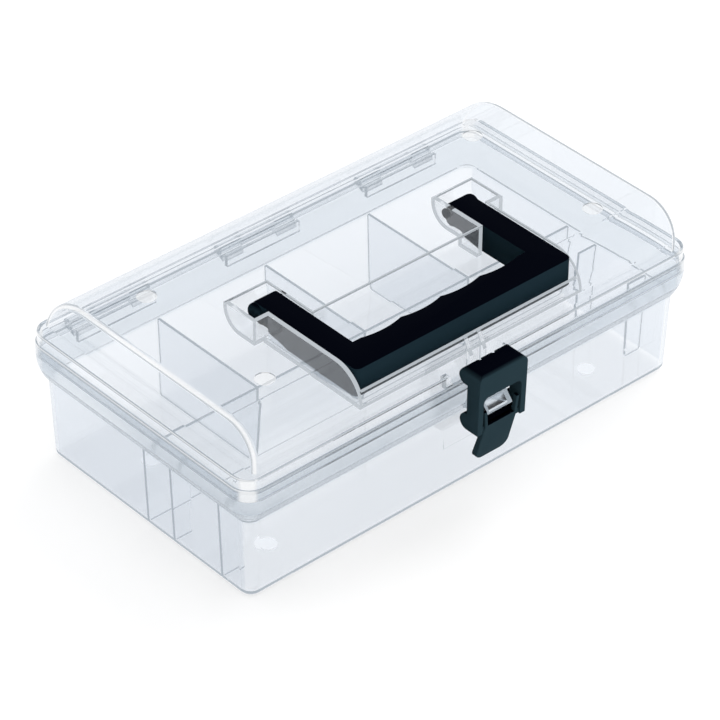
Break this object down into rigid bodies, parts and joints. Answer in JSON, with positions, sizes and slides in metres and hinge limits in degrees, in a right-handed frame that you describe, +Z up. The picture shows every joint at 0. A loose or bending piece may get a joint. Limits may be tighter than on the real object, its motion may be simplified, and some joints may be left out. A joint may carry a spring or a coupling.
{
  "type": "assortment case",
  "caption": "Clear hinged-lid assortment case with moulded compartments, a folding carry handle sunk flush into the domed lid and a front latch.",
  "frame": {"origin": "middle of the closed case's bounding box, at the level of the feet", "axes": "+X along the case's length, -Y towards the latch, +Z up"},
  "size_m": [0.27, 0.1732, 0.092],
  "materials": {
    "clear_base": "clear, polished",
    "clear_lid": "clear, polished",
    "black_plastic": "satin",
    "steel": "drawn wire"
  },
  "bodies": {
    "base": {"base_tray": "clear_base", "hinge_pin_left": "steel", "hinge_pin_middle": "steel", "hinge_pin_right": "steel"},
    "lid": {"lid": "clear_lid", "latch_pin": "steel"},
    "handle": {"carry_handle": "black_plastic"},
    "latch": {"latch": "black_plastic"}
  },
  "joints": [
    {"name": "lid_hinge", "type": "hinge", "parent": "base", "child": "lid", "pos_m": [0, 0.0838, 0.0586], "axis": [-1, 0, 0], "range_deg": [0, 110]},
    {"name": "handle_pivot", "type": "hinge", "parent": "lid", "child": "handle", "pos_m": [0, 0.0046, 0.0869], "axis": [-1, 0, 0], "range_deg": [0, 100]},
    {"name": "latch_pivot", "type": "hinge", "parent": "lid", "child": "latch", "pos_m": [0, -0.0774, 0.0724], "axis": [-1, 0, 0], "range_deg": [0, 90]}
  ]
}
